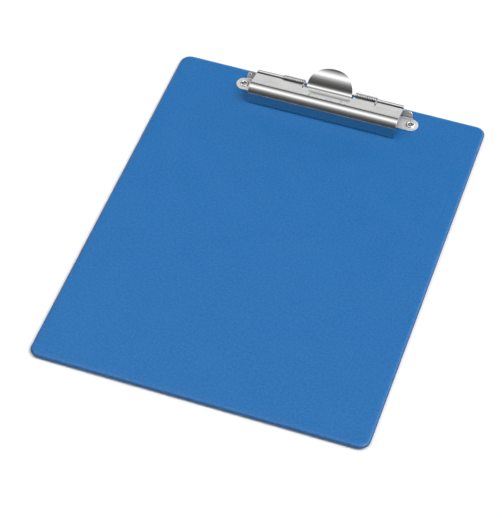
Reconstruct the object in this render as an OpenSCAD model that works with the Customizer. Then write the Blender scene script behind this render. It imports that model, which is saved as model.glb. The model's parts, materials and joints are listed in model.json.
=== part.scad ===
// A4 clipboard: a card board sealed in blue film, with a sprung sheet-metal clip riveted at the rear.
// The origin is the centre of the board's underside. +X runs across the board, +Y runs towards the
// clip and +Z points up out of the writing face.

/* [Board] */
// Width of the board, weld seam included
board_w = 245; // [230:1:260]
// Length of the board, weld seam included
board_l = 313; // [305:1:330]
// Thickness of the board
board_t = 3.2; // [2.8:0.1:4]
// Corner radius of the board's outline
corner_r = 8; // [5:0.5:14]
// Thickness of each cover film
film_t = 0.35; // [0.25:0.05:0.45]
// Width of the welded seam that stands out around the edge
seam_w = 0.6; // [0.4:0.1:1]
// Thickness of the welded seam
seam_t = 0.5; // [0.3:0.1:0.6]
// Rounding of the board's long edges
edge_r = 1.2; // [0.8:0.1:1.3]

/* [Hinge] */
// Distance from the board's rear edge to the hinge axis
hinge_inset = 8; // [7:0.5:12]
// Height of the hinge axis over the writing face
hinge_h = 8; // [7.5:0.25:9]
// Thickness of the clip's sheet steel
sheet_t = 0.8; // [0.6:0.05:0.9]
// Radius of the hinge rod
rod_r = 1; // [0.9:0.05:1.1]
// How far the rod stands out at each end
rod_proud = 0.4; // [0.2:0.1:1]
// Radial play of the jaw on the rod
hinge_play = 0.08; // [0.03:0.01:0.1]
// Width of each of the four hinge knuckles
knuckle_w = 10; // [8:0.5:10]
// Gap between neighbouring knuckles
knuckle_gap = 0.3; // [0.2:0.1:0.6]

/* [Jaw] */
// Width of the jaw
jaw_w = 117; // [116:1:120]
// Slope of the short lip that rises out of the hinge
lip_slope = 50; // [44:1:54]
// Straight length of the lip
lip_len = 1.85; // [1.8:0.05:2.2]
// Inside radius of the bend between lip and panel
lip_bend_r = 0.6; // [0.4:0.1:0.8]
// Slope of the flat panel
panel_slope = 13.7; // [11:0.1:16]
// Straight length of the panel
panel_len = 13.7; // [12:0.1:15]
// Outside radius of the ridge
ridge_r = 7; // [5:0.5:7.5]
// Slope of the front face
front_slope = 75; // [70:1:82]
// Height of the closed teeth over the writing face
tooth_rest = 0.12; // [0.1:0.02:0.4]
// Distance between teeth
tooth_pitch = 3; // [2:0.5:5]
// Width of each tooth's flat tip
tooth_tip = 0.7; // [0.4:0.1:1.2]
// Depth of the teeth
tooth_depth = 1.1; // [0.6:0.1:1.6]
// Plain length at each end of the row of teeth
tooth_margin = 4.5; // [2:0.5:10]
// Number of grip ribs pressed up along the ridge
rib_count = 20; // [2:1:24]

/* [Thumb tab] */
// Radius of the tab's round outline
tab_r = 17.8; // [16:0.1:18]
// Distance in front of the hinge axis at which the tab bends up out of the panel
tab_root = 5.8; // [5:0.1:7]
// Inside radius of the bend between panel and tab
tab_bend_r = 4.6; // [4:0.1:5]
// Slope of the tab behind that bend
tab_slope = 55; // [48:1:58]
// Straight length before the tab curls
tab_rise = 0.4; // [0.3:0.1:1]
// Radius of the tab's backward curl
tab_curl_r = 13.3; // [12:0.1:15]
// Angle that the curl turns through
tab_curl = 65; // [58:1:70]

/* [Springs] */
// Diameter of the spring wire
wire_d = 1.2; // [1:0.05:1.25]
// Mean radius of the coils
coil_r = 2.3; // [2.1:0.05:2.35]
// Distance between neighbouring turns
coil_pitch = 1.36; // [1.3:0.02:1.4]
// Number of whole turns in each coil
coil_turns = 12; // [8:1:12]
// Length of the leg that presses on the jaw
jaw_leg = 5.6; // [4:0.1:6]
// Length of the leg that presses on the base plate
base_leg = 4.7; // [3:0.1:4.75]

/* [Base plate and eyelets] */
// Distance between the two eyelets
eyelet_span = 133.2; // [132:0.2:140]
// Radius of the rounded ears
ear_r = 6.2; // [5.5:0.1:6.2]
// Height of the rear wall's free ends over the writing face
wall_h = 7.4; // [6.6:0.2:7.6]
// Height of the rear wall below the springs and the tab
wall_low_h = 4.8; // [3.5:0.1:4.8]
// Radius of the wall's outer corners
wall_corner_r = 4.5; // [2:0.5:5]
// Inside radius of the bend between base plate and wall
wall_bend_r = 0.7; // [0.4:0.1:0.9]
// Outer radius of the bead that stiffens the base plate
bead_r = 1.6; // [1.3:0.1:2]
// Radius of the hole through each eyelet
eyelet_bore_r = 1.7; // [1.4:0.1:1.9]
// Wall thickness of the eyelets
eyelet_wall = 0.6; // [0.4:0.1:0.8]
// Radius of the eyelets' upper heads
eyelet_head_r = 3.5; // [3.1:0.1:4]
// Outer radius of the backing washers
washer_r = 4.5; // [4:0.1:5]
// Thickness of the backing washers
washer_t = 0.5; // [0.4:0.1:0.8]

/* [Hidden] */
$fn = 64;

// The board's flat middle ends at the centres of its round corners
flat_x = board_w / 2 - corner_r;
flat_y = board_l / 2 - corner_r;
body_out = corner_r - seam_w;

// The hinge axis, and radii about it
hinge_y = board_l / 2 - hinge_inset;
hinge_z = board_t + hinge_h;
base_knuckle_r = rod_r + sheet_t;
jaw_bore_r = rod_r + hinge_play;
jaw_knuckle_r = jaw_bore_r + sheet_t;
rod_chamfer = 0.2;
// Open angle between the end of each knuckle's curl and the sheet that it came from
base_curl_gap = 60;
jaw_curl_gap = 78;

// Stations along the hinge line, from the outside inwards
jaw_half = jaw_w / 2;
base_knuckle_in = jaw_half - knuckle_w;
jaw_knuckle_out = base_knuckle_in - knuckle_gap;
jaw_knuckle_in = jaw_knuckle_out - knuckle_w;
spring_out = jaw_knuckle_in - knuckle_gap;
tab_half = tab_r - 0.1;

// The jaw's section in (forwards, up) from the hinge axis, walked forwards along its upper surface
ridge_turn = panel_slope + front_slope;
lip_start = jaw_bore_r * [sin(lip_slope), -cos(lip_slope)];
lip_end = lip_start + lip_len * direction(lip_slope);
panel_start = arc_end(lip_end, lip_slope, panel_slope, lip_bend_r + sheet_t);
panel_end = panel_start + panel_len * direction(panel_slope);
front_start = arc_end(panel_end, panel_slope, -front_slope, ridge_r);
// The front face ends square, so its inner edge is the lowest line of the jaw
front_drop = front_start[1] + hinge_h - tooth_rest - sheet_t * cos(front_slope);
front_len = front_drop / sin(front_slope);

// The bend between panel and tab, in (forwards, up) from the hinge axis
tab_bend_start = panel_start + (tab_root - panel_start[0]) / cos(panel_slope) * direction(panel_slope);
tab_bend_centre = tab_bend_start + tab_bend_r * [-sin(panel_slope), cos(panel_slope)];

// The tab's section behind the bend, in (backwards, up) from the hinge axis, and its chord
tab_bend_end = tab_bend_centre - tab_bend_r * [sin(tab_slope), cos(tab_slope)];
tab_start = [-tab_bend_end[0], tab_bend_end[1]];
tab_curl_start = tab_start + tab_rise * direction(tab_slope);
tab_tip = arc_end(tab_curl_start, tab_slope, tab_slope - tab_curl, tab_curl_r);
tab_chord = norm(tab_tip - tab_start);
tab_chord_slope = atan2(tab_tip[1] - tab_start[1], tab_tip[0] - tab_start[0]);

// Notches in the panel's rear edge, measured forwards from the axis
spring_notch = 3.4;
knuckle_notch = 2.4;

// Each coil runs from a leg that hangs behind the wall to a leg that lies over the jaw. Its angles
// turn from backwards to up.
coil_from = -30;
coil_to = 88 + 360 * coil_turns;
coil_advance = coil_pitch * (coil_to - coil_from) / 360;
coil_steps = 12;
wire_sides = 8;
spring_in = spring_out - coil_advance - wire_d;

// Base plate and fasteners
wall_y = hinge_y - rod_r;
ear_y = hinge_y - base_knuckle_r - wall_bend_r - ear_r;
eyelet_x = eyelet_span / 2;
barrel_r = eyelet_bore_r + eyelet_wall;
bead_half = 46;
clinch_r = 0.7;
washer_z = 0.1 + clinch_r;
pocket_z = washer_z + washer_t;
pocket_r = washer_r + 0.5;

// Grip ribs
rib_r = 0.45;
rib_len = 2.2;
rib_pitch = 1.9;
rib_sunk = 0.2;

// Straights run this far into the bends beside them, and lie this far under the bends' surfaces, so
// that one sheet joins as one solid
lap = 0.1;
tuck = 0.02;

// Unit vector at an angle
function direction(a) = [cos(a), sin(a)];

// End of a clockwise arc of radius r that starts at p and turns from heading a to heading b
function arc_end(p, a, b, r) = p + r * [sin(a) - sin(b), cos(b) - cos(a)];

// ---------------------------------------------------------------- helpers

// A pie slice between two angles
module slice(radius, from_a, to_a) {
    steps = ceil((to_a - from_a) / 45);
    polygon(concat([[0, 0]], [for (i = [0 : steps])
        2 * radius * direction(from_a + (to_a - from_a) * i / steps)]));
}

// A disc segment between two angles, or a ring segment where r_in is over 0
module ring_part(r_in, r_out, from_a, to_a) {
    intersection() {
        difference() {
            circle(r_out);
            if (r_in > 0) circle(r_in);
        }
        slice(r_out, from_a, to_a);
    }
}

// A bent strip of sheet. Each step is [straight length, downward turn, inside radius of the bend].
// The upper surface starts at the origin and heads along +X. Each straight's ends are buried in the
// bends beside it.
module bent_strip(steps, i = 0) {
    straight = steps[i][0];
    turn = steps[i][1];
    radius = steps[i][2];
    if (straight > 0) translate([-lap, tuck - sheet_t])
        square([straight + (turn > 0 ? 2 * lap : lap), sheet_t - 2 * tuck]);
    if (turn > 0) translate([straight, -sheet_t - radius]) {
        ring_part(radius, radius + sheet_t, 90 - turn, 90);
        if (i + 1 < len(steps)) rotate(-turn) translate([0, sheet_t + radius]) bent_strip(steps, i + 1);
    }
}

// Extrudes a section in (forwards, up) from x0 to x1 along the hinge axis
module along_hinge(x0, x1) {
    translate([x1, hinge_y, hinge_z]) rotate([90, 0, -90]) linear_extrude(x1 - x0) children();
}

// The same part on the left and on the right
module both_sides() {
    children();
    mirror([1, 0, 0]) children();
}

// Sweeps a section in (outwards, up) around the board's edge, from the corners' centre line
module around_board() {
    for (corner = [0 : 3]) {
        sx = corner == 0 || corner == 3 ? 1 : -1;
        sy = corner < 2 ? 1 : -1;
        translate([sx * flat_x, sy * flat_y, board_t / 2])
            rotate(90 * corner) rotate_extrude(angle = 90) children();
    }
    for (side = [0, 180]) rotate(side) {
        translate([flat_x, flat_y, board_t / 2])
            rotate([90, 0, 0]) linear_extrude(2 * flat_y) children();
        translate([-flat_x, flat_y, board_t / 2])
            rotate([90, 0, 90]) linear_extrude(2 * flat_x) children();
    }
}

// The middle of the board between two heights
module board_middle(z0, z1) {
    translate([-flat_x, -flat_y, z0]) cube([2 * flat_x, 2 * flat_y, z1 - z0]);
}

// A slab's edge above its middle plane, with the outer corner rounded
module rounded_edge(out, height, round_r) {
    square([out - round_r, height]);
    square([out, height - round_r]);
    translate([out - round_r, height - round_r]) ring_part(0, round_r, 0, 90);
}

// The card core's edge above its middle plane
module core_edge() {
    rounded_edge(body_out - film_t, board_t / 2 - film_t, edge_r - film_t);
}

// The upper film's edge with its half of the welded seam
module film_edge() {
    difference() {
        union() {
            rounded_edge(body_out, board_t / 2, edge_r);
            square([corner_r, seam_t / 2]);
        }
        core_edge();
    }
}

// A vertical cylinder at both eyelets
module at_eyelets(radius, z0, z1) {
    both_sides() translate([eyelet_x, ear_y, z0]) cylinder(r = radius, h = z1 - z0);
}

// ---------------------------------------------------------------- board

// Grey card stiffener, sealed between the two films
module board_core() {
    color("silver") difference() {
        union() {
            around_board() {
                core_edge();
                mirror([0, 1]) core_edge();
            }
            board_middle(film_t, board_t - film_t);
        }
        at_eyelets(pocket_r + film_t, 0, pocket_z + film_t);
        at_eyelets(barrel_r, 0, board_t);
    }
}

// Upper film
module front_cover() {
    color("royalblue") difference() {
        union() {
            around_board() film_edge();
            board_middle(board_t - film_t, board_t);
        }
        at_eyelets(barrel_r, 0, board_t + 1);
    }
}

// Lower film, pressed up into a pocket under each eyelet
module back_cover() {
    color("royalblue") difference() {
        union() {
            around_board() mirror([0, 1]) film_edge();
            board_middle(0, film_t);
            at_eyelets(pocket_r + film_t, 0, pocket_z + film_t);
        }
        at_eyelets(pocket_r, -1, pocket_z);
        at_eyelets(barrel_r, 0, board_t);
    }
}

// ---------------------------------------------------------------- fasteners

// Tubular rivet: a rolled head on the ear, a barrel through the board and a clinched lower end
module eyelet() {
    barrel_top = board_t + sheet_t;
    head_round = (eyelet_head_r - eyelet_bore_r) / 2;
    color("lightgray") translate([eyelet_x, ear_y, 0]) rotate_extrude() {
        translate([eyelet_bore_r, washer_z]) square([eyelet_wall, barrel_top - washer_z]);
        translate([eyelet_bore_r + head_round, barrel_top]) ring_part(0, head_round, 0, 180);
        translate([eyelet_bore_r + clinch_r, washer_z]) ring_part(0, clinch_r, 180, 360);
    }
}

module eyelet_left() {
    mirror([1, 0, 0]) eyelet();
}

module eyelet_right() {
    eyelet();
}

// Backing washer, pressed into the underside and clinched there by the eyelet
module washer() {
    color("gray") translate([eyelet_x, ear_y, washer_z]) difference() {
        cylinder(r = washer_r, h = washer_t);
        translate([0, 0, -1]) cylinder(r = barrel_r, h = washer_t + 2);
    }
}

module washer_left() {
    mirror([1, 0, 0]) washer();
}

module washer_right() {
    washer();
}

// ---------------------------------------------------------------- base plate

// Plan of the foot that lies on the board, with its rounded ears
module foot_plan() {
    translate([-eyelet_x, ear_y - ear_r]) square([eyelet_span, 2 * ear_r]);
    for (x = [-eyelet_x, eyelet_x]) translate([x, ear_y]) circle(ear_r);
}

// The rear wall in (across, up) from the writing face, without its right or left end
module wall_plan() {
    foot = sheet_t + wall_bend_r;
    translate([-eyelet_x, foot]) square([eyelet_span, wall_low_h - foot]);
}

// One raised end of the rear wall, with the stretch that curls into a knuckle
module wall_end_plan() {
    end_w = eyelet_x - base_knuckle_in;
    translate([base_knuckle_in, 0]) {
        translate([0, wall_low_h / 2]) square([end_w, wall_h - wall_corner_r - wall_low_h / 2]);
        translate([0, wall_low_h / 2]) square([end_w - wall_corner_r, wall_h - wall_low_h / 2]);
        translate([end_w - wall_corner_r, wall_h - wall_corner_r]) ring_part(0, wall_corner_r, 0, 90);
        translate([0, wall_low_h / 2]) square([knuckle_w, hinge_h - wall_low_h / 2]);
    }
}

// The long bead pressed up along the middle of the foot
module stiffening_bead(radius) {
    translate([-bead_half, ear_y, board_t]) rotate([90, 0, 90]) linear_extrude(2 * bead_half)
        ring_part(0, radius, 0, 180);
}

// Sheet foot riveted to the board, with the upright rear wall and the outer hinge knuckles
module base_plate() {
    color("silver") difference() {
        union() {
            translate([0, 0, board_t]) linear_extrude(sheet_t) foot_plan();
            stiffening_bead(bead_r);
            translate([eyelet_x, ear_y + ear_r, board_t + sheet_t + wall_bend_r])
                rotate([90, 0, -90]) linear_extrude(eyelet_span)
                    ring_part(wall_bend_r, wall_bend_r + sheet_t, 180, 270);
            translate([0, wall_y, board_t]) rotate([90, 0, 0]) linear_extrude(sheet_t) {
                wall_plan();
                wall_end_plan();
                mirror([1, 0]) wall_end_plan();
            }
            both_sides() along_hinge(base_knuckle_in, jaw_half)
                ring_part(rod_r, base_knuckle_r, 0, 360 - base_curl_gap);
        }
        stiffening_bead(bead_r - sheet_t);
        at_eyelets(barrel_r, 0, board_t + 2 * sheet_t);
    }
}

// Steel rod that the jaw turns on, held in the base plate's knuckles
module hinge_rod() {
    half = jaw_half + rod_proud;
    color("gainsboro") translate([0, hinge_y, hinge_z]) rotate([0, 90, 0]) {
        translate([0, 0, rod_chamfer - half]) cylinder(r = rod_r, h = 2 * (half - rod_chamfer));
        for (side = [0, 180]) rotate([side, 0, 0]) translate([0, 0, half - rod_chamfer])
            cylinder(r1 = rod_r, r2 = rod_r - rod_chamfer, h = rod_chamfer);
    }
}

// ---------------------------------------------------------------- jaw

// Panel, ridge and front face
module jaw_section() {
    translate(lip_end) rotate(lip_slope) bent_strip([
        [0, lip_slope - panel_slope, lip_bend_r],
        [panel_len, ridge_turn, ridge_r - sheet_t],
        [front_len, 0, 0]]);
}

// The lip that runs from under the rod up to the panel
module lip_section() {
    translate(lip_start) rotate(lip_slope) bent_strip([[lip_len + lap, 0, 0]]);
}

// The lip with a curl that closes around the rod
module knuckle_section() {
    lip_section();
    ring_part(jaw_bore_r, jaw_knuckle_r, lip_slope - 90 + jaw_curl_gap, lip_slope + 270);
}

// The bend out of the panel and the thumb tab that rises over the rod
module tab_section() {
    translate(tab_bend_centre)
        ring_part(tab_bend_r, tab_bend_r + sheet_t, 270 - tab_slope, 270 + panel_slope);
    mirror([1, 0]) translate(tab_start) rotate(tab_slope)
        bent_strip([[tab_rise, tab_curl, tab_curl_r - sheet_t]]);
}

// The tab's outline, square to its chord: round behind and straight in front
module tab_outline() {
    translate([0, hinge_y + tab_start[0], hinge_z + tab_start[1]]) rotate([tab_chord_slope, 0, 0])
        translate([0, tab_chord - tab_r, -tab_r]) linear_extrude(2 * tab_r) {
            circle(tab_r);
            translate([-tab_r, -tab_r]) square([2 * tab_r, tab_r]);
        }
}

// Room in the panel's rear edge for what turns or sits there
module rear_notch(x0, x1, depth) {
    along_hinge(x0, x1) translate([0, -depth]) square([depth, 2 * depth]);
}

// Half-round ribs across the rear of the ridge
module grip_ribs() {
    root = panel_end + rib_sunk * [sin(panel_slope), -cos(panel_slope)];
    for (i = [0 : rib_count - 1])
        translate([(i - (rib_count - 1) / 2) * rib_pitch, hinge_y - root[0], hinge_z + root[1]])
            rotate([90 - panel_slope, 0, 0]) translate([0, 0, -rib_len]) cylinder(r = rib_r, h = rib_len);
}

// The spaces between the teeth, along the lower edge of the front face
module tooth_spaces() {
    count = floor((jaw_w - 2 * tooth_margin) / tooth_pitch);
    low = board_t + tooth_rest;
    translate([0, board_l / 2, 0]) rotate([90, 0, 0]) linear_extrude(board_l)
        for (i = [0 : count - 1]) translate([(i - (count - 1) / 2) * tooth_pitch, low])
            polygon([[-(tooth_pitch - tooth_tip) / 2, -tooth_rest / 2], [0, tooth_depth],
                     [(tooth_pitch - tooth_tip) / 2, -tooth_rest / 2]]);
}

// One sheet: knuckles, panel with its notches, ridge, toothed front face and thumb tab
module clamp_jaw() {
    color("silver") {
        difference() {
            along_hinge(-jaw_half, jaw_half) jaw_section();
            both_sides() rear_notch(spring_in - knuckle_gap, jaw_knuckle_in, spring_notch);
            rear_notch(knuckle_gap - spring_in, spring_in - knuckle_gap, tab_root - lap);
            both_sides() rear_notch(jaw_knuckle_out, jaw_half + 1, knuckle_notch);
            tooth_spaces();
        }
        both_sides() along_hinge(jaw_knuckle_in, jaw_knuckle_out) knuckle_section();
        intersection() {
            along_hinge(-tab_half, tab_half) tab_section();
            tab_outline();
        }
        grip_ribs();
    }
}

// ---------------------------------------------------------------- springs

// Angles of the wire's stations around the coil
function coil_angles() =
    let (count = ceil((coil_to - coil_from) * coil_steps / 360))
    [for (i = [0 : count]) coil_from + (coil_to - coil_from) * i / count];

// A point on the coil's centre line, from the centre of its first turn
function coil_point(a) = [(a - coil_from) * coil_pitch / 360, coil_r * cos(a), coil_r * sin(a)];

// The wire's stations as [point, angle]: the base leg's end, the coil and the jaw leg's end
function spring_stations() = concat(
    [[coil_point(coil_from) + base_leg * [0, sin(coil_from), -cos(coil_from)], coil_from]],
    [for (a = coil_angles()) [coil_point(a), a]],
    [[coil_point(coil_to) + jaw_leg * [0, -sin(coil_to), cos(coil_to)], coil_to]]);

// One torsion spring with its legs; x0 is the left end of its coil
module spring(x0) {
    stations = spring_stations();
    last = len(stations) - 1;
    points = [for (s = stations, k = [0 : wire_sides - 1])
        let (b = 360 * k / wire_sides, out = [0, cos(s[1]), sin(s[1])])
        s[0] + wire_d / 2 * (cos(b) * out + sin(b) * [1, 0, 0])];
    sides = [for (i = [0 : last - 1], k = [0 : wire_sides - 1])
        let (next = (k + 1) % wire_sides, row = i * wire_sides)
        [row + k, row + wire_sides + k, row + wire_sides + next, row + next]];
    caps = [[for (k = [0 : wire_sides - 1]) k],
            [for (k = [0 : wire_sides - 1]) last * wire_sides + wire_sides - 1 - k]];
    color("darkgray") translate([x0 + wire_d / 2, hinge_y, hinge_z])
        polyhedron(points, concat(sides, caps), convexity = 10);
}

module spring_left() {
    spring(-spring_out);
}

module spring_right() {
    spring(spring_in);
}

board_core();
front_cover();
back_cover();
base_plate();
clamp_jaw();
hinge_rod();
spring_left();
spring_right();
eyelet_left();
eyelet_right();
washer_left();
washer_right();
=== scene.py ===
"""Looks for the A4 clipboard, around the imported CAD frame. In millimetres until a mesh is made."""

import json
import math

import bmesh
import bpy
from mathutils import Matrix, Vector, noise


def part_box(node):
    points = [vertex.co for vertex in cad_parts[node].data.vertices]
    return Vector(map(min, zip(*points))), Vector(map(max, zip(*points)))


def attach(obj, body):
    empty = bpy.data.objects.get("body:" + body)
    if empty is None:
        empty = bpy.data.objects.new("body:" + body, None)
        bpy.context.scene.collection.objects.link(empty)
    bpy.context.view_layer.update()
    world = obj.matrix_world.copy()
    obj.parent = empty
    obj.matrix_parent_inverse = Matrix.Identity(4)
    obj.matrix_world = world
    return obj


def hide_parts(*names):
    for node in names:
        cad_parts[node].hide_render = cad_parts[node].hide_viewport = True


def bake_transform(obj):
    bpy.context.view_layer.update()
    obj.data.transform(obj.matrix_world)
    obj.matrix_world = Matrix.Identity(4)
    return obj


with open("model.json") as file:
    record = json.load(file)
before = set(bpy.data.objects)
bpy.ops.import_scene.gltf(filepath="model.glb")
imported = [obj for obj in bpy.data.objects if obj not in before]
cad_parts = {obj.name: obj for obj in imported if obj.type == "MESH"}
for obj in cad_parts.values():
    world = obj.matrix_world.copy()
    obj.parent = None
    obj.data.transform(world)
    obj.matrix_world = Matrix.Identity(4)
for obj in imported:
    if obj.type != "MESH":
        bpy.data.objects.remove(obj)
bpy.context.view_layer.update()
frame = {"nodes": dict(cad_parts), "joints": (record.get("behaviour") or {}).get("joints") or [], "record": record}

MM = 0.001
HINGE = [v / MM for v in frame["joints"][0]["pos_m"]]
BOARD_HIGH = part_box("front_cover")[1] / MM
BOARD_T = BOARD_HIGH.z
EYELETS = next(m for m in frame["record"]["mounts"] if m["name"] == "eyelet_holes")
EYELET_X = EYELETS["dims"]["spacing_x_mm"] / 2
EYELET_Y = EYELETS["pos_m"][1] / MM

# The board, as in the CAD source
CORNER_R = 8.0
BODY_OUT = 7.4
FILM_T = 0.35
CORE_OUT = BODY_OUT - FILM_T
FLAT_X = BOARD_HIGH.x - CORNER_R
FLAT_Y = BOARD_HIGH.y - CORNER_R
POCKET_R = 5.0
POCKET_Z = 1.3
BARREL_R = 2.3

# The clip, as in the CAD source
SHEET_T = 0.8
JAW_HALF = 58.5
KNUCKLE_BASE_IN = 48.5
KNUCKLE_OUT, KNUCKLE_IN = 48.2, 38.2
SPRING_NOTCH_IN = 19.63
TAB_HALF = 17.7
TAB_R = 17.8
BORE_R = 1.08
ROD_R = 1.0
LIP_SLOPE, LIP_LEN = 50.0, 1.85
PANEL_SLOPE, PANEL_LEN = 13.7, 13.7
BEND_R, RIDGE_R = 1.4, 7.0
FRONT_SLOPE = 75.0
TOOTH_REST = 0.12
TOOTH_PITCH, TOOTH_TIP, TOOTH_DEPTH, TOOTH_MARGIN = 3.0, 0.7, 1.1, 4.5
TAB_ROOT, TAB_BEND_R = 5.8, 4.6
TAB_SLOPE, TAB_RISE, TAB_CURL_R, TAB_CURL = 55.0, 0.4, 13.3, 65.0
SPRING_NOTCH = 3.4
WIRE_R, COIL_R, COIL_PITCH = 0.6, 2.3, 1.36
COIL_FROM, COIL_TO = -30.0, 88.0 + 4320.0
JAW_LEG, BASE_LEG = 5.6, 4.7
EDGE_ROUND = 0.13


def unit(a):
    """Unit vector at an angle in degrees."""
    return Vector((math.cos(math.radians(a)), math.sin(math.radians(a))))


def blend_values(a, b, t):
    return a + (b - a) * t


def corners(j, k):
    """The four corners of a grid cell, in order."""
    return (j, k), (j, k + 1), (j + 1, k + 1), (j + 1, k)


def coons(left, right, low, high, a, b):
    """A point inside four boundary curves."""
    flat = blend_values(low(a), high(a), b) + blend_values(left(b), right(b), a)
    bilinear = blend_values(blend_values(low(0), low(1), a), blend_values(high(0), high(1), a), b)
    return flat - bilinear


# ---------------------------------------------------------------- meshes


def new_piece(name, points, faces, materials, face_materials=None):
    """A closed mesh piece from points in millimetres, doubled points merged and normals outwards."""
    mesh = bpy.data.meshes.new(name)
    mesh.from_pydata([Vector(p) * MM for p in points], [], faces)
    for m in materials:
        mesh.materials.append(m)
    if face_materials:
        mesh.polygons.foreach_set("material_index", face_materials)
    b = bmesh.new()
    b.from_mesh(mesh)
    bmesh.ops.remove_doubles(b, verts=b.verts, dist=2e-7)
    bmesh.ops.recalc_face_normals(b, faces=b.faces)
    b.to_mesh(mesh)
    b.free()
    piece = bpy.data.objects.new(name, mesh)
    bpy.context.scene.collection.objects.link(piece)
    return piece


def apply_modifiers(piece):
    graph = bpy.context.evaluated_depsgraph_get()
    mesh = bpy.data.meshes.new_from_object(piece.evaluated_get(graph))
    piece.modifiers.clear()
    piece.data = mesh


def cut(piece, cutters, operation="DIFFERENCE"):
    """Joins or subtracts scratch pieces, then removes them."""
    for c in cutters:
        m = piece.modifiers.new(operation, "BOOLEAN")
        m.operation, m.solver, m.object = operation, "EXACT", c
    apply_modifiers(piece)
    for c in cutters:
        bpy.data.objects.remove(c)


def smooth(piece, angle=35, weighted=True):
    """Smooth shading with creases at sharp edges."""
    mesh = piece.data
    mesh.polygons.foreach_set("use_smooth", [True] * len(mesh.polygons))
    mesh.set_sharp_from_angle(angle=math.radians(angle))
    if weighted:
        m = piece.modifiers.new("normals", "WEIGHTED_NORMAL")
        m.keep_sharp = True
        apply_modifiers(piece)
    return piece


def lathe(name, profile, centre, materials, axis="z", sides=72, wobble=None):
    """A closed profile of (radius, height) turned about a line through centre."""
    points, faces, n = [], [], len(profile)
    for i in range(sides):
        d = unit(360 * i / sides)
        for r, h in profile:
            if wobble:
                r += wobble(i, r, h)
            local = Vector((r * d.x, r * d.y, h))
            points.append(Vector(centre) + (local if axis == "z" else Vector((h, local.x, local.y))))
    for i in range(sides):
        k = (i + 1) % sides
        faces += [(i * n + j, k * n + j, k * n + (j + 1) % n, i * n + (j + 1) % n) for j in range(n)]
    return new_piece(name, points, faces, materials)


def sheet_solid(name, points, normals, faces, materials, thickness=SHEET_T, rounding=EDGE_ROUND):
    """Bent sheet metal from its middle surface: both faces and a rounded rim along every free edge."""
    directed = {(f[i], f[(i + 1) % len(f)]) for f in faces for i in range(len(f))}
    rim = [(a, b) for a, b in directed if (b, a) not in directed]
    outward = {}
    for a, b in rim:
        along = points[b] - points[a]
        for v in (a, b):
            o = along.cross(normals[v])
            if o.length > 1e-9:
                outward.setdefault(v, []).append(o.normalized())
    inset = {}
    for v, found in outward.items():
        total = sum(found, Vector())
        inset[v] = total / max(0.45, 1 + (found[0].dot(found[1]) if len(found) == 2 else 1))
    half = thickness / 2
    out, top, bottom = [], {}, {}
    used = sorted({v for f in faces for v in f})
    for v in used:
        shift = inset[v] * rounding if v in inset else Vector()
        top[v], bottom[v] = len(out), len(out) + 1
        out += [points[v] + normals[v] * half - shift, points[v] - normals[v] * half - shift]
    made = [tuple(top[v] for v in f) for f in faces]
    made += [tuple(bottom[v] for v in reversed(f)) for f in faces]
    # (height, inset share) of the rows between the upper and the lower face
    soft, full = half - rounding * 0.29, half - rounding
    rows = [(soft, 0.29), (full, 0.0), (-full, 0.0), (-soft, 0.29)]
    chain = {}
    for v in inset:
        chain[v] = [top[v]]
        for h, share in rows:
            chain[v].append(len(out))
            out.append(points[v] + normals[v] * h - inset[v] * rounding * share)
        chain[v].append(bottom[v])
    for a, b in rim:
        for k in range(len(rows) + 1):
            made.append((chain[b][k], chain[a][k], chain[a][k + 1], chain[b][k + 1]))
    return new_piece(name, out, made, materials)


def tube(name, centres, frames, radius, materials, sides=12):
    """A round wire through centres, with rounded ends. Each frame is two directions across the wire."""
    rings = []
    for end, at in ((0, 0), (1, len(centres) - 1)):
        back = (centres[at] - centres[at + 1 if end == 0 else at - 1]).normalized()
        cap = []
        for t in (1.45, 1.05, 0.55):
            cap.append((centres[at] + back * radius * 0.35 * math.sin(t), frames[at], radius * math.cos(t)))
        rings.append(cap if end == 0 else cap[::-1])
    body = [(c, f, radius) for c, f in zip(centres, frames)]
    rows = rings[0] + body + rings[1]
    points = []
    for c, (u, v), r in rows:
        for k in range(sides):
            a = 2 * math.pi * k / sides
            points.append(c + (u * math.cos(a) + v * math.sin(a)) * r)
    faces = []
    for i in range(len(rows) - 1):
        for k in range(sides):
            n = (k + 1) % sides
            faces.append((i * sides + k, i * sides + n, (i + 1) * sides + n, (i + 1) * sides + k))
    last = (len(rows) - 1) * sides
    faces += [tuple(reversed(range(sides))), tuple(last + k for k in range(sides))]
    return new_piece(name, points, faces, materials)


# ---------------------------------------------------------------- materials


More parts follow.
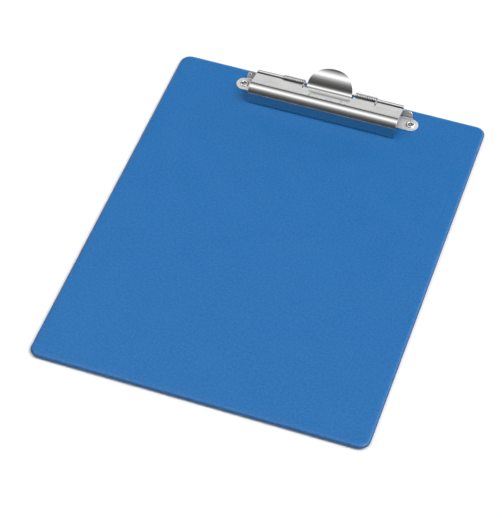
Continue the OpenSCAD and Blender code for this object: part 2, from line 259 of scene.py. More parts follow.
class Nodes:
    """A short way to build one material's nodes."""

    def __init__(self, name):
        self.material = bpy.data.materials.new(name)
        self.material.use_nodes = True
        self.tree = self.material.node_tree
        self.shader = self.tree.nodes["Principled BSDF"]
        self.where = self.tree.nodes.new("ShaderNodeTexCoord").outputs["Object"]

    def add(self, kind, **inputs):
        node = self.tree.nodes.new(kind)
        for key, value in inputs.items():
            self.set(node.inputs[key.replace("_", " ")], value)
        return node

    def set(self, socket, value):
        if isinstance(value, bpy.types.NodeSocket):
            self.tree.links.new(value, socket)
        else:
            socket.default_value = value

    def stretched(self, scale):
        node = self.add("ShaderNodeMapping", Vector=self.where)
        node.inputs["Scale"].default_value = scale
        return node.outputs["Vector"]

    def noise(self, vector, scale, detail=2.0, roughness=0.5):
        node = self.add("ShaderNodeTexNoise", Vector=vector, Scale=scale, Detail=detail, Roughness=roughness)
        return node.outputs["Fac"]

    def ranged(self, value, low, high, to_low, to_high):
        node = self.add("ShaderNodeMapRange", Value=value)
        for key, number in (("From Min", low), ("From Max", high), ("To Min", to_low), ("To Max", to_high)):
            node.inputs[key].default_value = number
        return node.outputs["Result"]

    def mix(self, factor, a, b):
        node = self.tree.nodes.new("ShaderNodeMix")
        node.data_type = "RGBA"
        self.set(node.inputs["Factor"], factor)
        for socket, value in ((node.inputs[6], a), (node.inputs[7], b)):
            self.set(socket, value if isinstance(value, bpy.types.NodeSocket) else (*value, 1.0))
        return node.outputs[2]

    def bump(self, height, strength, distance, below=None):
        node = self.add("ShaderNodeBump", Height=height, Strength=strength, Distance=distance)
        if below is not None:
            self.set(node.inputs["Normal"], below)
        return node.outputs["Normal"]

    def surface(self, **inputs):
        for key, value in inputs.items():
            if isinstance(value, tuple):
                value = (*value, 1.0)
            self.set(self.shader.inputs[key.replace("_", " ")], value)
        return self.material


def film_material(name, deep, light, rough):
    """Matt PVC film: a fine pressed grain over a faint mottle, with small scuffs."""
    n = Nodes(name)
    mottle = n.noise(n.where, 28.0, 3.0)
    grain = n.noise(n.where, 1500.0, 2.0, 0.6)
    scuff = n.noise(n.stretched((60.0, 420.0, 60.0)), 1.0, 6.0, 0.7)
    tone = n.mix(n.ranged(mottle, 0.35, 0.65, 0.0, 1.0), deep, light)
    tone = n.mix(n.ranged(grain, 0.3, 0.7, 0.0, 0.22), tone, tuple(c * 1.25 for c in light))
    fleck = n.noise(n.where, 620.0, 1.0)
    tone = n.mix(n.ranged(fleck, 0.3, 0.7, 0.0, 1.0), tone, tuple(c * 1.36 for c in light))
    tone = n.mix(n.ranged(scuff, 0.66, 0.86, 0.0, 0.1), tone, (0.25, 0.42, 0.62))
    shine = n.ranged(n.noise(n.where, 90.0, 4.0), 0.3, 0.7, rough - 0.05, rough + 0.05)
    normal = n.bump(grain, 0.22, 0.00012)
    normal = n.bump(n.noise(n.where, 260.0, 2.0), 0.08, 0.0004, normal)
    return n.surface(Base_Color=tone, Roughness=shine, Normal=normal, Specular_IOR_Level=0.5)


def metal_material(name, low, high, rough, lines, depth):
    """Plated metal: faint tone and gloss changes along the rolling direction, hairlines and pits."""
    n = Nodes(name)
    streak = n.noise(n.stretched(lines), 1.0, 4.0, 0.6)
    cloud = n.noise(n.where, 70.0, 3.0)
    pit = n.noise(n.where, 900.0, 2.0, 0.7)
    tone = n.mix(n.ranged(streak, 0.3, 0.7, 0.0, 1.0), low, high)
    tone = n.mix(n.ranged(pit, 0.7, 0.8, 0.0, 0.25), tone, tuple(c * 0.6 for c in low))
    shine = n.ranged(cloud, 0.3, 0.7, rough * 0.8, rough * 1.25)
    normal = n.bump(streak, depth, 0.00004)
    return n.surface(Base_Color=tone, Roughness=shine, Normal=normal, Metallic=1.0)


def zinc_material():
    """Zinc plate with its dull spangle."""
    n = Nodes("zinc_plate")
    cell = n.add("ShaderNodeTexVoronoi", Vector=n.where, Scale=900.0).outputs["Color"]
    tone = n.mix(n.ranged(cell, 0.2, 0.8, 0.0, 1.0), (0.42, 0.43, 0.45), (0.6, 0.61, 0.63))
    shine = n.ranged(n.noise(n.where, 300.0, 3.0), 0.3, 0.7, 0.32, 0.48)
    return n.surface(Base_Color=tone, Roughness=shine, Metallic=1.0, Normal=n.bump(cell, 0.15, 0.00003))


def card_material():
    """Raw grey board with short fibres."""
    n = Nodes("grey_card")
    fibre = n.noise(n.stretched((300.0, 1400.0, 1400.0)), 1.0, 5.0, 0.7)
    fleck = n.noise(n.where, 700.0, 2.0)
    tone = n.mix(n.ranged(fibre, 0.3, 0.7, 0.0, 1.0), (0.2, 0.19, 0.17), (0.36, 0.34, 0.3))
    tone = n.mix(n.ranged(fleck, 0.66, 0.74, 0.0, 0.5), tone, (0.09, 0.085, 0.08))
    return n.surface(Base_Color=tone, Roughness=n.ranged(fibre, 0.3, 0.7, 0.85, 0.97),
                     Normal=n.bump(fibre, 0.5, 0.00008))


FILM = film_material("blue_film", (0.002, 0.101, 0.3), (0.004, 0.108, 0.316), 0.34)
WELD = film_material("welded_film", (0.01, 0.05, 0.13), (0.02, 0.07, 0.17), 0.4)
NICKEL = metal_material("nickel_plate", (0.58, 0.578, 0.574), (0.66, 0.658, 0.654), 0.15,
                        (14.0, 2600.0, 2600.0), 0.1)
SATIN = metal_material("satin_nickel", (0.86, 0.858, 0.854), (0.92, 0.918, 0.914), 0.45,
                       (14.0, 2200.0, 2200.0), 0.12)
ROD = metal_material("drawn_rod", (0.55, 0.55, 0.55), (0.7, 0.7, 0.7), 0.2, (20.0, 3200.0, 3200.0), 0.15)
WIRE = metal_material("spring_wire", (0.34, 0.34, 0.35), (0.5, 0.5, 0.51), 0.2, (900.0, 900.0, 900.0), 0.12)
EYELET = metal_material("eyelet_plate", (0.7, 0.7, 0.69), (0.8, 0.8, 0.79), 0.14,
                        (700.0, 700.0, 1800.0), 0.12)
ZINC = zinc_material()
CARD = card_material()


# ---------------------------------------------------------------- board films


def outline_samples(step=4.0, corner_steps=14):
    """Stations around the board as (x, y of the corners' centre line, outward direction)."""
    found = []
    for quarter, (sx, sy) in enumerate(((1, 1), (-1, 1), (-1, -1), (1, -1))):
        for i in range(corner_steps):
            found.append((sx * FLAT_X, sy * FLAT_Y, unit(90 * quarter + 90 * i / corner_steps)))
        along_x = quarter % 2 == 0
        length = 2 * (FLAT_X if along_x else FLAT_Y)
        count = round(length / step)
        outward = unit(90 * (quarter + 1))
        for i in range(count):
            t = 1 - 2 * i / count
            x, y = (sx * FLAT_X * t, sy * FLAT_Y) if along_x else (sx * FLAT_X, sy * FLAT_Y * t)
            found.append((x, y, outward))
    return found


def film_profile():
    """The upper film's closed section as (outwards, up from mid-height, welded?), from its top inwards."""
    side, start = 0.4, 0.6
    top = BOARD_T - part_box("front_cover")[0].z / MM
    chain = [(0.0, top, False)]
    for a in range(0, 91, 9):
        d = unit(a)
        chain.append((start + (BODY_OUT - start) * d.y**0.4, side + (top - side) * d.x, False))
    chain += [(BODY_OUT + 0.02, 0.31, True), (BODY_OUT + 0.1, 0.25, True), (CORNER_R - 0.1, 0.25, True),
              (CORNER_R - 0.03, 0.21, True), (CORNER_R, 0.12, True), (CORNER_R, 0.0, True)]
    core_round = 0.85
    chain += [(CORE_OUT, 0.0, False), (CORE_OUT, side, False)]
    for a in range(15, 91, 15):
        d = unit(a)
        chain.append((CORE_OUT - core_round + core_round * d.x, side + core_round * d.y, False))
    chain += [(start, top - FILM_T, False), (0.0, top - FILM_T, False)]
    return chain


def film_cover(name, upper):
    """One film: its flat middle, its soft edge and its half of the weld, as one closed shell."""
    stations = outline_samples()
    profile = film_profile()
    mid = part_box("front_cover")[0].z / MM
    sign = 1 if upper else -1
    seed = 3.7 if upper else 11.2
    points, faces, marks = [], [], []
    m = len(profile)

    def settle(x, y, up):
        """Faint waves in the film, always inwards of the CAD surface."""
        wave = noise.noise(Vector((x / 42, y / 42, seed))) * 0.5 + 0.5
        fine = noise.noise(Vector((x / 11, y / 11, seed + 5))) * 0.5 + 0.5
        return up - 0.035 * wave - 0.01 * fine

    for i, (x, y, d) in enumerate(stations):
        ragged = 0.05 * (noise.noise(Vector((x / 3, y / 3, i * 0.21 + seed))) * 0.5 + 0.5)
        for j, (out, up, _) in enumerate(profile):
            if out > CORNER_R - 0.05:
                out -= ragged
            px, py = x + d.x * out, y + d.y * out
            if j < 9:
                up = settle(px, py, up)
            points.append((px, py, mid + sign * up))
    for i in range(len(stations)):
        k = (i + 1) % len(stations)
        for j in range(m - 1):
            faces.append((i * m + j, k * m + j, k * m + j + 1, i * m + j + 1))
            marks.append(1 if profile[j][2] and profile[j + 1][2] else 0)
    nx, ny = round(2 * FLAT_X / 4.0), round(2 * FLAT_Y / 4.0)
    for level, outer in ((profile[0][1], True), (profile[-1][1], False)):
        base = len(points)
        for b in range(ny + 1):
            for a in range(nx + 1):
                x, y = FLAT_X * (2 * a / nx - 1), FLAT_Y * (2 * b / ny - 1)
                up = settle(x, y, level) if outer else level
                points.append((x, y, mid + sign * up))
        for b in range(ny):
            for a in range(nx):
                c = base + b * (nx + 1) + a
                faces.append((c, c + 1, c + nx + 2, c + nx + 1))
                marks.append(0)
    return new_piece(name, points, faces, [FILM, WELD], marks)


def hole_cutter(profile, x):
    return lathe("cutter", profile, (x, EYELET_Y, 0), [FILM], sides=64)


def both(make):
    return [make(-EYELET_X), make(EYELET_X)]


front = film_cover("front_film", True)
cut(front, both(lambda x: hole_cutter([(0.0, 0.5), (BARREL_R, 0.5), (BARREL_R, 4.5), (0.0, 4.5)], x)))

back = film_cover("back_film", False)
# The film dips into each pocket, so the cup is added first and then hollowed
CUP = [(0.0, 0.06), (POCKET_R + FILM_T, 0.06), (POCKET_R + FILM_T, POCKET_Z + FILM_T),
       (0.0, POCKET_Z + FILM_T)]
cut(back, both(lambda x: hole_cutter(CUP, x)), "UNION")
MOUTH = [(0.0, -1.0), (POCKET_R + 0.32, -1.0), (POCKET_R + 0.32, 0.04), (POCKET_R + 0.12, 0.12),
         (POCKET_R, 0.32), (POCKET_R, POCKET_Z), (BARREL_R, POCKET_Z), (BARREL_R, 3.0), (0.0, 3.0)]
cut(back, both(lambda x: hole_cutter(MOUTH, x)))
for piece, node in ((front, "front_cover"), (back, "back_cover")):
    smooth(piece, 40)
    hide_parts(node)
    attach(piece, "board")

core = frame["nodes"]["board_core"]
core.material_slots[0].material = CARD


# ---------------------------------------------------------------- jaw


def tilted_up(slope):
    """The upward normal, as (forwards, up), of sheet that rises forwards at a slope."""
    return Vector((-math.sin(math.radians(slope)), math.cos(math.radians(slope))))


LIP_START = -BORE_R * tilted_up(LIP_SLOPE)
LIP_END = LIP_START + unit(LIP_SLOPE) * LIP_LEN


def forwards(x, f, u):
    """A point from (across, forwards, up) about the hinge axis."""
    return Vector((x, HINGE[1] - f, HINGE[2] + u))


class Section:
    """Stations along the middle of a bent sheet as (f, u, normal f, normal u), with the length walked."""

    def __init__(self, start, heading):
        self.at, self.heading, self.walked = Vector(start), heading, 0.0
        self.rows, self.lengths = [], []
        self.mark()

    def mark(self):
        up = tilted_up(self.heading)
        middle = self.at - up * SHEET_T / 2
        self.rows.append((middle.x, middle.y, up.x, up.y))
        self.lengths.append(self.walked)

    def line(self, length, count):
        for _ in range(count):
            self.at += unit(self.heading) * length / count
            self.walked += length / count
            self.mark()
        return self

    def arc(self, turn, radius, count):
        for _ in range(count):
            a, b = self.heading, self.heading - turn / count
            ra, rb = math.radians(a), math.radians(b)
            self.at += radius * Vector((math.sin(ra) - math.sin(rb), math.cos(rb) - math.cos(ra)))
            self.heading = b
            self.walked += radius * math.radians(turn / count)
            self.mark()
        return self


def ring_rows(from_a, to_a, count, radius=BORE_R + SHEET_T / 2):
    """Stations around the rod, with the upper surface facing it."""
    found = []
    for i in range(1, count + 1):
        d = unit(blend_values(from_a, to_a, i / count))
        found.append((radius * d.x, radius * d.y, -d.x, -d.y))
    return found


def jaw_columns():
    """Positions across the jaw that follow its teeth, and each one's height over the lower edge."""
    count = int((2 * JAW_HALF - 2 * TOOTH_MARGIN) / TOOTH_PITCH)
    gap = (TOOTH_PITCH - TOOTH_TIP) / 2
    xs, lift = [-JAW_HALF, -JAW_HALF + 2.4], [0.0, 0.0]
    for i in range(count):
        c = (i - (count - 1) / 2) * TOOTH_PITCH
        xs += [c - gap, c, c + gap]
        lift += [0.0, TOOTH_DEPTH, 0.0]
    return xs + [JAW_HALF - 2.4, JAW_HALF], lift + [0.0, 0.0]


def build_jaw():
    xs, lift = jaw_columns()
    snapped = list(xs)
    for target in (TAB_HALF, SPRING_NOTCH_IN, KNUCKLE_IN, KNUCKLE_OUT):
        for side in (-1, 1):
            k = min(range(len(xs)), key=lambda i: abs(xs[i] - side * target))
            snapped[k] = side * target
    main = Section(LIP_END, LIP_SLOPE)
    main.arc(LIP_SLOPE - PANEL_SLOPE, BEND_R, 3)
    start_f = main.at.x
    rear_rows = len(main.rows)
    per_f = 1 / math.cos(math.radians(PANEL_SLOPE))
    main.line((SPRING_NOTCH - start_f) * per_f, 1)
    main.line((TAB_ROOT - SPRING_NOTCH) * per_f, 2)
    tab_row = len(main.rows) - 1
    tab_root = main.at.copy()
    main.line(PANEL_LEN - (TAB_ROOT - start_f) * per_f, 5)
    panel_end = main.walked
    main.arc(PANEL_SLOPE + FRONT_SLOPE, RIDGE_R, 18)
    drop = main.at.y + HINGE[2] - BOARD_T - TOOTH_REST - SHEET_T * math.cos(math.radians(FRONT_SLOPE))
    front_len = drop / math.sin(math.radians(FRONT_SLOPE))
    first_front = len(main.rows) - 1
    main.line(front_len, 5)

    points, normals, faces, index = [], [], [], {}

    def put(key, x, row):
        f, u, nf, nu = row
        index[key] = len(points)
        points.append(forwards(x, f, u))
        normals.append(Vector((0.0, -nf, nu)))

    last = len(main.rows) - 1
    for j, row in enumerate(main.rows):
        settle = 1 - min(1.0, max(0.0, (main.lengths[j] - main.lengths[tab_row]) / (panel_end * 0.6)))
        for k, x in enumerate(xs):
            at = blend_values(x, snapped[k], settle)
            f, u, nf, nu = row
            if j > first_front:
                share = (j - first_front) / (last - first_front)
                back = lift[k] / math.sin(math.radians(FRONT_SLOPE)) * share**2
                d = unit(-FRONT_SLOPE)
                f, u = f - d.x * back, u - d.y * back
            put(("main", j, k), at, (f, u, nf, nu))

    def within(k, low, high):
        middle = abs(snapped[k] + snapped[k + 1]) / 2
        return low < middle < high

    for j in range(last):
        for k in range(len(xs) - 1):
            lip_gap = j < rear_rows - 1 and not within(k, KNUCKLE_IN, KNUCKLE_OUT)
            spring_gap = j < rear_rows and within(k, SPRING_NOTCH_IN, KNUCKLE_IN)
            tab_gap = j < tab_row and within(k, 0, SPRING_NOTCH_IN)
            if not (lip_gap or spring_gap or tab_gap):
                faces.append(tuple(index[("main", *q)] for q in corners(j, k)))

    def grow(zone, columns, rows, place, root=0):
        """Continues the sheet backwards from one row of the panel."""
        for k in columns:
            index[(zone, 0, k)] = index[("main", root, k)]
        for j, row in enumerate(rows, 1):
            for k in columns:
                put((zone, j, k), *place(j, k, row))
        for j in range(len(rows)):
            for k in columns[:-1]:
                quad = ((zone, j + 1, k), (zone, j + 1, k + 1), (zone, j, k + 1), (zone, j, k))
                faces.append(tuple(index[q] for q in quad))

    lip = Section(LIP_START, LIP_SLOPE).rows[0]
    for side in (-1, 1):
        ends = sorted((side * KNUCKLE_IN, side * KNUCKLE_OUT))
        columns = [k for k in range(len(xs)) if ends[0] - 0.01 <= snapped[k] <= ends[1] + 0.01]
        rows = [lip] + ring_rows(LIP_SLOPE + 270, LIP_SLOPE - 90 + 78, 26)
        grow("knuckle%+d" % side, columns, rows, lambda j, k, row: (snapped[k], row))

    # The bend out of the panel, and the tab walked backwards from it as (backwards, up)
    centre = tab_root + TAB_BEND_R * tilted_up(PANEL_SLOPE)
    bend = []
    for i in range(1, 13):
        tilt = math.radians(blend_values(-PANEL_SLOPE, TAB_SLOPE, i / 12))
        normal = Vector((math.sin(tilt), math.cos(tilt)))
        middle = centre - normal * (TAB_BEND_R + SHEET_T / 2)
        bend.append((middle.x, middle.y, normal.x, normal.y))
    slope = math.radians(TAB_SLOPE)
    upper = centre - TAB_BEND_R * Vector((math.sin(slope), math.cos(slope)))
    tab_start = Vector((-upper.x, upper.y))
    fine = Section(tab_start, TAB_SLOPE).line(TAB_RISE, 4).arc(TAB_CURL, TAB_CURL_R, 160)
    tip = (fine.at - tab_start).length
    along = (fine.at - tab_start).normalized()
    reach = []
    for f, u, nf, nu in fine.rows:
        reach.append((Vector((f, u)) + Vector((nf, nu)) * SHEET_T / 2 - tab_start).dot(along))

    def tab_station(c):
        """The station whose distance along the chord is c, turned to face forwards."""
        i = next((i for i in range(1, len(reach)) if reach[i] >= c), len(reach) - 1)
        t = min(1.0, max(0.0, (c - reach[i - 1]) / (reach[i] - reach[i - 1])))
        b, u, nb, nu = (blend_values(p, q, t) for p, q in zip(fine.rows[i - 1], fine.rows[i]))
        return -b, u, -nb, nu

    columns = [k for k in range(len(xs)) if abs(snapped[k]) <= TAB_HALF + 0.01]
    tab_steps = 26
    corner = math.degrees(math.acos((TAB_R - tip) / TAB_R))

    def rim_point(a):
        """A point on the tab's round outline as (across, along its chord), a degrees from its middle."""
        return Vector((TAB_R * math.sin(math.radians(a)), tip - TAB_R + TAB_R * math.cos(math.radians(a))))

    def place_tab(j, k, row):
        a = columns.index(k) / (len(columns) - 1)
        p = coons(lambda b: rim_point(blend_values(-corner, -45, b)),
                  lambda b: rim_point(blend_values(corner, 45, b)),
                  lambda a: blend_values(rim_point(-corner), rim_point(corner), a),
                  lambda a: rim_point(90 * a - 45), a, max(0, j - len(bend)) / tab_steps)
        if j <= len(bend):
            return blend_values(snapped[k], p.x, j / len(bend)), row
        return p.x, tab_station(p.y)

    grow("tab", columns, bend + [None] * tab_steps, place_tab, tab_row)
    return sheet_solid("clamp_jaw_sheet", points, normals, faces, [NICKEL])


def rib(x, panel_end):
    """A half-round grip rib with rounded ends."""
    radius, length, sunk = 0.52, 2.4, 0.16
    up = tilted_up(PANEL_SLOPE)
    root = panel_end - up * sunk
    centres, radii = [], []
    heading = unit(PANEL_SLOPE)
    for i in range(9):
        t = i / 8
        at = root - heading * length * t
        centres.append(forwards(x, at.x, at.y))
        radii.append(radius * math.sqrt(max(0.02, 1 - abs(2 * t - 1) ** 5)))
    across = Vector((1, 0, 0))
    normal = Vector((0, -up.x, up.y))
    points, faces, sides = [], [], 14
    for c, r in zip(centres, radii):
        for k in range(sides):
            d = unit(360 * k / sides)
            points.append(c + (across * d.x + normal * d.y) * r)
    for i in range(len(centres) - 1):
        for k in range(sides):
            n = (k + 1) % sides
            faces.append((i * sides + k, i * sides + n, (i + 1) * sides + n, (i + 1) * sides + k))
    end = (len(centres) - 1) * sides
    faces += [tuple(reversed(range(sides))), tuple(end + k for k in range(sides))]
    return new_piece("rib", points, faces, [NICKEL])


jaw = build_jaw()
ridge = Section(LIP_END, LIP_SLOPE).arc(LIP_SLOPE - PANEL_SLOPE, BEND_R, 1).line(PANEL_LEN, 1)
RIB_COUNT, RIB_PITCH = 20, 1.9
cut(jaw, [rib((i - (RIB_COUNT - 1) / 2) * RIB_PITCH, ridge.at) for i in range(RIB_COUNT)], "UNION")
smooth(jaw, 32)
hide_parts("clamp_jaw")
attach(jaw, "jaw")


# ---------------------------------------------------------------- base plate


def build_base():
    ear_r, foot_z = 6.2, BOARD_T + SHEET_T / 2
    bend_r, wall_y = 0.7 + SHEET_T / 2, HINGE[1] - 1.0 - SHEET_T / 2
    wall_low, wall_high, corner = BOARD_T + 4.8, BOARD_T + 7.4, 4.5
    bead_half, bead_w, bead_h = 46.0, 1.9, 0.8
    inner = [-EYELET_X + (2 * EYELET_X) * i / 60 for i in range(61)]
    for target in (KNUCKLE_BASE_IN, JAW_HALF):
        for side in (-1, 1):
            k = min(range(len(inner)), key=lambda i: abs(inner[i] - side * target))
            inner[k] = side * target
    ends = [EYELET_X - corner + corner * math.sin(math.radians(a)) for a in (0, 15, 30, 45, 60, 75, 90)]
    xs = {round(x, 4) for x in inner if abs(x) < EYELET_X - corner}
    xs = sorted(xs | {round(side * e, 4) for e in ends for side in (-1, 1)})
    ys = {round(-ear_r + 2 * ear_r * i / 16, 4) for i in range(17)}
    ys = sorted(ys | {round(bead_w * t / 6, 4) for t in range(-6, 7)})
    points, normals, faces, index = [], [], [], {}

    def put(key, point, normal):
        index[key] = len(points)
        points.append(Vector(point))
        normals.append(Vector(normal).normalized())

    def bead(x, dy):
        """Height and slope of the pressed bead."""
        fade = min(1.0, max(0.0, (bead_half - abs(x)) / 3.0))
        fade = fade * fade * (3 - 2 * fade)
        if abs(dy) >= bead_w:
            return 0.0, 0.0
        wave = math.cos(math.pi * dy / bead_w)
        fall = math.pi / bead_w * math.sin(math.pi * dy / bead_w)
        return bead_h * fade * (1 + wave) / 2, -bead_h * fade * fall / 2

    for j, dy in enumerate(ys):
        for k, x in enumerate(xs):
            height, slope = bead(x, dy)
            put(("foot", j, k), (x, EYELET_Y + dy, foot_z + height), (0, -slope, 1))
    rows, cols = len(ys), len(xs)
    for j in range(rows - 1):
        for k in range(cols - 1):
            faces.append(tuple(index[("foot", *q)] for q in corners(j, k)))
    steps = 10
    for side in (-1, 1):
        edge = cols - 1 if side > 0 else 0
        centre = Vector((EYELET_X, EYELET_Y))
        for j, dy in enumerate(ys):
            index[("ear", side, j, 0)] = index[("foot", j, edge)]
            for i in range(1, steps + 1):
                p = coons(lambda b: centre + Vector((0, blend_values(-ear_r, ear_r, b))),
                          lambda b: centre + ear_r * unit(-45 + 90 * b),
                          lambda a: centre + ear_r * unit(-90 + 45 * a),
                          lambda a: centre + ear_r * unit(90 - 45 * a),
                          i / steps, (dy + ear_r) / (2 * ear_r))
                put(("ear", side, j, i), (side * p.x, p.y, foot_z), (0, 0, 1))
        for j in range(rows - 1):
            for i in range(steps):
                quad = [index[("ear", side, *q)] for q in corners(j, i)]
                faces.append(tuple(quad if side > 0 else quad[::-1]))

    rear = EYELET_Y + ear_r
    for k in range(cols):
        index[("wall", 0, k)] = index[("foot", rows - 1, k)]
    row, bottom = 0, foot_z + bend_r
    for i in range(1, 7):
        row += 1
        d = unit(-90 + 90 * i / 6)
        for k, x in enumerate(xs):
            put(("wall", row, k), (x, rear + bend_r * d.x, bottom + bend_r * d.y), (0, -d.x, -d.y))
    levels = [blend_values(bottom, wall_low, i / 3) for i in (1, 2, 3)]
    levels += [blend_values(wall_low, wall_high, i / 3) for i in (1, 2, 3)]
    low_row = row + 3
    for z in levels:
        row += 1
        for k, x in enumerate(xs):
            past = abs(x) - (EYELET_X - corner)
            top = wall_high - corner + math.sqrt(max(0.0, corner**2 - past**2)) if past > 0 else wall_high
            at = bottom + (z - bottom) * (top - bottom) / (wall_high - bottom)
            put(("wall", row, k), (x, wall_y, at), (0, -1, 0))
    end_row = row
    radius = ROD_R + SHEET_T / 2
    curl = [(HINGE[1] - radius, HINGE[2], (0, 1, 0))]
    for i in range(1, 27):
        d = unit(300 * i / 26)
        curl.append((HINGE[1] - radius * d.x, HINGE[2] + radius * d.y, (0, d.x, -d.y)))
    for y, z, normal in curl:
        row += 1
        for k, x in enumerate(xs):
            if KNUCKLE_BASE_IN - 0.01 <= abs(x) <= JAW_HALF + 0.01:
                put(("wall", row, k), (x, y, z), normal)
    for j in range(row):
        for k in range(cols - 1):
            middle = abs(xs[k] + xs[k + 1]) / 2
            if j >= low_row and middle < KNUCKLE_BASE_IN:
                continue
            if j >= end_row and not KNUCKLE_BASE_IN < middle < JAW_HALF:
                continue
            faces.append(tuple(index[("wall", *q)] for q in corners(j, k)))
    return sheet_solid("base_plate_sheet", points, normals, faces, [NICKEL, SATIN])


base = build_base()
cut(base, both(lambda x: hole_cutter([(0.0, 2.5), (BARREL_R, 2.5), (BARREL_R, 5.5), (0.0, 5.5)], x)))
smooth(base, 32)
# The riveting tool leaves the flat foot duller than the wall and knuckles
for face in base.data.polygons:
    face.material_index = 1 if face.center.z < (BOARD_T + SHEET_T + 0.05) * MM else 0
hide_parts("base_plate")
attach(base, "board")


# ---------------------------------------------------------------- rod, springs, eyelets and washers


def rod_profile():
    """Half the rod's section from one peened end to the other, closed along its axis."""
    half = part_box("hinge_rod")[1].x / MM
    end = [(0.0, 0.0), (0.45, 0.01), (0.78, 0.07), (0.95, 0.2), (ROD_R, 0.42)]
    left = [(r, h - half) for r, h in end]
    return left + [(ROD_R, x) for x in range(-56, 57, 8)] + [(r, half - h) for r, h in reversed(end)]


rod = lathe("hinge_rod_drawn", rod_profile(), (0, HINGE[1], HINGE[2]), [ROD], axis="x", sides=32)
smooth(rod, 45)
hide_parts("hinge_rod")
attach(rod, "board")


def build_spring(node):
    """A helix of wire with a leg at each end; the legs bend off the coil without a kink."""
    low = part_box(node)[0].x / MM
    turn = (COIL_TO - COIL_FROM) / 360
    count = int(turn * 28)
    centres, frames = [], []

    def add(x, y, z, out):
        centres.append(Vector((x, HINGE[1] + y, HINGE[2] + z)))
        frames.append((out, Vector((1, 0, 0))))

    x0 = low + WIRE_R
    ends = (COIL_FROM, BASE_LEG, 1, x0), (COIL_TO, JAW_LEG, -1, x0 + turn * COIL_PITCH)
    for angle, leg, sign, x in ends:
        c, s = unit(angle)
        side = [(x, COIL_R * c + sign * t * s, COIL_R * s - sign * t * c, Vector((0, c, s)))
                for t in (leg * i / 5 for i in range(5, 0, -1))]
        if sign > 0:
            for p in side:
                add(*p)
            for i in range(count + 1):
                a = blend_values(COIL_FROM, COIL_TO, i / count)
                d = unit(a)
                across = x0 + COIL_PITCH * (a - COIL_FROM) / 360
                add(across, COIL_R * d.x, COIL_R * d.y, Vector((0, d.x, d.y)))
        else:
            for p in reversed(side):
                add(*p)
    piece = tube(node + "_wire", centres, frames, WIRE_R, [WIRE])
    smooth(piece, 60, weighted=False)
    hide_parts(node)
    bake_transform(piece)


for node in ("spring_left", "spring_right"):
    build_spring(node)


def eyelet_profile():
    """A rolled head over the ear, the barrel and the clinched foot, as one closed loop."""
    bore, wall = 1.7, 0.6
    head, foot = BOARD_T + SHEET_T, 0.8
    loop = []
    for a in range(0, 181, 15):
        d = unit(a)
        loop.append((bore + 0.9 + 0.9 * d.x, head + 0.03 + 0.82 * d.y))
    loop += [(bore, head - 0.6), (bore, foot + 0.6)]
    for a in range(180, 361, 15):
        d = unit(a)
        loop.append((bore + 0.7 + 0.7 * d.x, foot + 0.68 * d.y))
    return loop + [(bore + wall + 0.25, foot + 0.02), (bore + wall, foot + 0.05), (bore + wall, head),
                   (bore + 1.2, head + 0.02)]


def crimp(i, r, h):
    """Faint splits where the tool rolled the lower end over."""
    return -0.06 * max(0.0, math.cos(2 * math.pi * i / 12)) ** 6 if h < 0.8 and r > 2.4 else 0.0


# The washer's section as (radius, height), its punched edges rounded below and sheared above
WASHER = [(2.32, 0.86), (2.4, 0.8), (4.3, 0.8), (4.45, 0.86), (4.5, 1.0), (4.5, 1.28), (4.46, 1.3),
          (2.32, 1.3)]

for side, name in ((-1, "left"), (1, "right")):
    centre = (side * EYELET_X, EYELET_Y, 0)
    eyelet = lathe("eyelet_" + name + "_rolled", eyelet_profile(), centre, [EYELET], sides=96, wobble=crimp)
    washer = lathe("washer_" + name + "_stamped", WASHER, centre, [ZINC])
    for piece, node, slot in ((eyelet, "eyelet_", "eyelet"), (washer, "washer_", "washer")):
        smooth(piece, 50)
        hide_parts(node + name)
        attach(piece, "board")


# ---------------------------------------------------------------- floor, light and camera


def build_floor():
    n = Nodes("pale_floor")
    cloud = n.ranged(n.noise(n.where, 6.0, 3.0), 0.3, 0.7, 0.0, 1.0)
    tone = n.mix(cloud, (0.86, 0.86, 0.86), (0.9, 0.9, 0.9))
    material = n.surface(Base_Color=tone, Roughness=0.8, Specular_IOR_Level=0.1)
    half = 6000.0
    outline = [(-half, -half, 0), (half, -half, 0), (half, half, 0), (-half, half, 0)]
    floor = new_piece("floor", outline, [(0, 1, 2, 3)], [material])
    floor.location.z = -0.0002


def ramp_node(tree, value, stops, full):
    """A ramp of linear brightness through (position out of full, brightness) stops."""
    node = tree.nodes.new("ShaderNodeValToRGB")
    tree.links.new(value, node.inputs[0])
    elements = node.color_ramp.elements
    while len(elements) < len(stops):
        elements.new(0.5)
    for element, (position, level) in zip(elements, stops):
        element.position = position / full
        element.color = (level, level, level, 1)
    return node


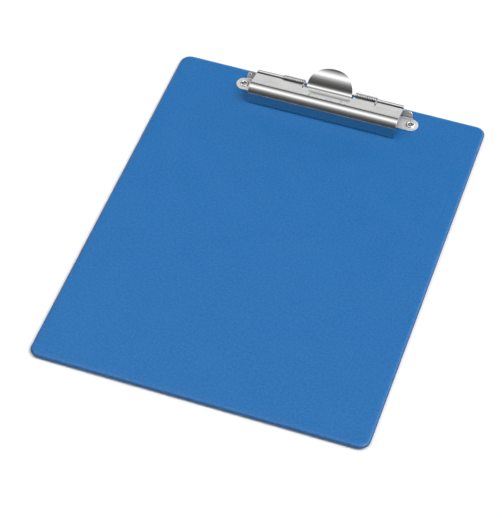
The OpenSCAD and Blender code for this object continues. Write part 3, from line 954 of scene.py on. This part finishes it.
def build_world():
    """Soft boxes over the table, as a ramp of brightness from behind, over the top and down in front."""
    world = bpy.data.worlds.new("studio")
    bpy.context.scene.world = world
    world.use_nodes = True
    tree = world.node_tree
    where = tree.nodes.new("ShaderNodeTexCoord").outputs["Generated"]
    split = tree.nodes.new("ShaderNodeSeparateXYZ")
    tree.links.new(where, split.inputs[0])
    turn = tree.nodes.new("ShaderNodeMath")
    turn.operation = "ARCTAN2"
    tree.links.new(split.outputs["Z"], turn.inputs[0])
    tree.links.new(split.outputs["Y"], turn.inputs[1])
    share = tree.nodes.new("ShaderNodeMath")
    share.operation = "DIVIDE"
    share.inputs[1].default_value = math.pi
    tree.links.new(turn.outputs[0], share.inputs[0])
    # (degrees up from the horizon behind the board, linear brightness)
    ramp = ramp_node(tree, share.outputs[0], [
        (0, 1.1), (21, 1.1), (24.5, 0.08), (38, 0.11), (46, 0.38), (58, 0.66), (69, 1.1), (76, 1.5),
        (81, 1.75), (91, 1.75), (96, 1.5), (104, 0.95), (111, 0.66), (123, 0.33), (135, 0.19), (147, 0.12),
        (162, 0.09), (180, 0.07)], 180)
    # A dimmer middle, a box on its left and a brighter one on its right, and dark ends
    across = tree.nodes.new("ShaderNodeMapRange")
    across.inputs["From Min"].default_value = -1.0
    tree.links.new(split.outputs["X"], across.inputs["Value"])
    boxes = ramp_node(tree, across.outputs["Result"], [
        (0, 0.1), (0.06, 0.1), (0.14, 1.3), (0.29, 1.3), (0.35, 1.0), (0.65, 1.0),
        (0.71, 3.55), (0.88, 3.55), (0.96, 0.12), (1, 0.12)], 1)
    background = tree.nodes["Background"]
    tree.links.new(ramp.outputs["Color"], background.inputs["Color"])
    tree.links.new(boxes.outputs["Color"], background.inputs["Strength"])


def build_camera():
    """The photograph's viewpoint, found by fitting the board's corners."""
    place = Vector((0.28563, -0.89329, 1.09148))
    azimuth, elevation, roll = (math.radians(a) for a in (18.476, 49.95, 0.676))
    focal_px, long_side = 1984.7, 518
    level = math.cos(elevation)
    back = Vector((math.sin(azimuth) * level, -math.cos(azimuth) * level, math.sin(elevation)))
    right = Vector((0, 0, 1)).cross(back).normalized()
    up = back.cross(right)
    across = right * math.cos(roll) + up * math.sin(roll)
    over = up * math.cos(roll) - right * math.sin(roll)
    data = bpy.data.cameras.new("camera")
    data.sensor_width = 36.0
    data.lens = 36.0 * focal_px / long_side
    data.clip_start, data.clip_end = 0.05, 50
    camera = bpy.data.objects.new("camera", data)
    turn = Matrix((across, over, back)).transposed()
    camera.matrix_world = Matrix.Translation(place) @ turn.to_4x4()
    bpy.context.scene.collection.objects.link(camera)
    bpy.context.scene.camera = camera


build_floor()
build_world()
build_camera()
bpy.context.scene.view_settings.view_transform = "Standard"
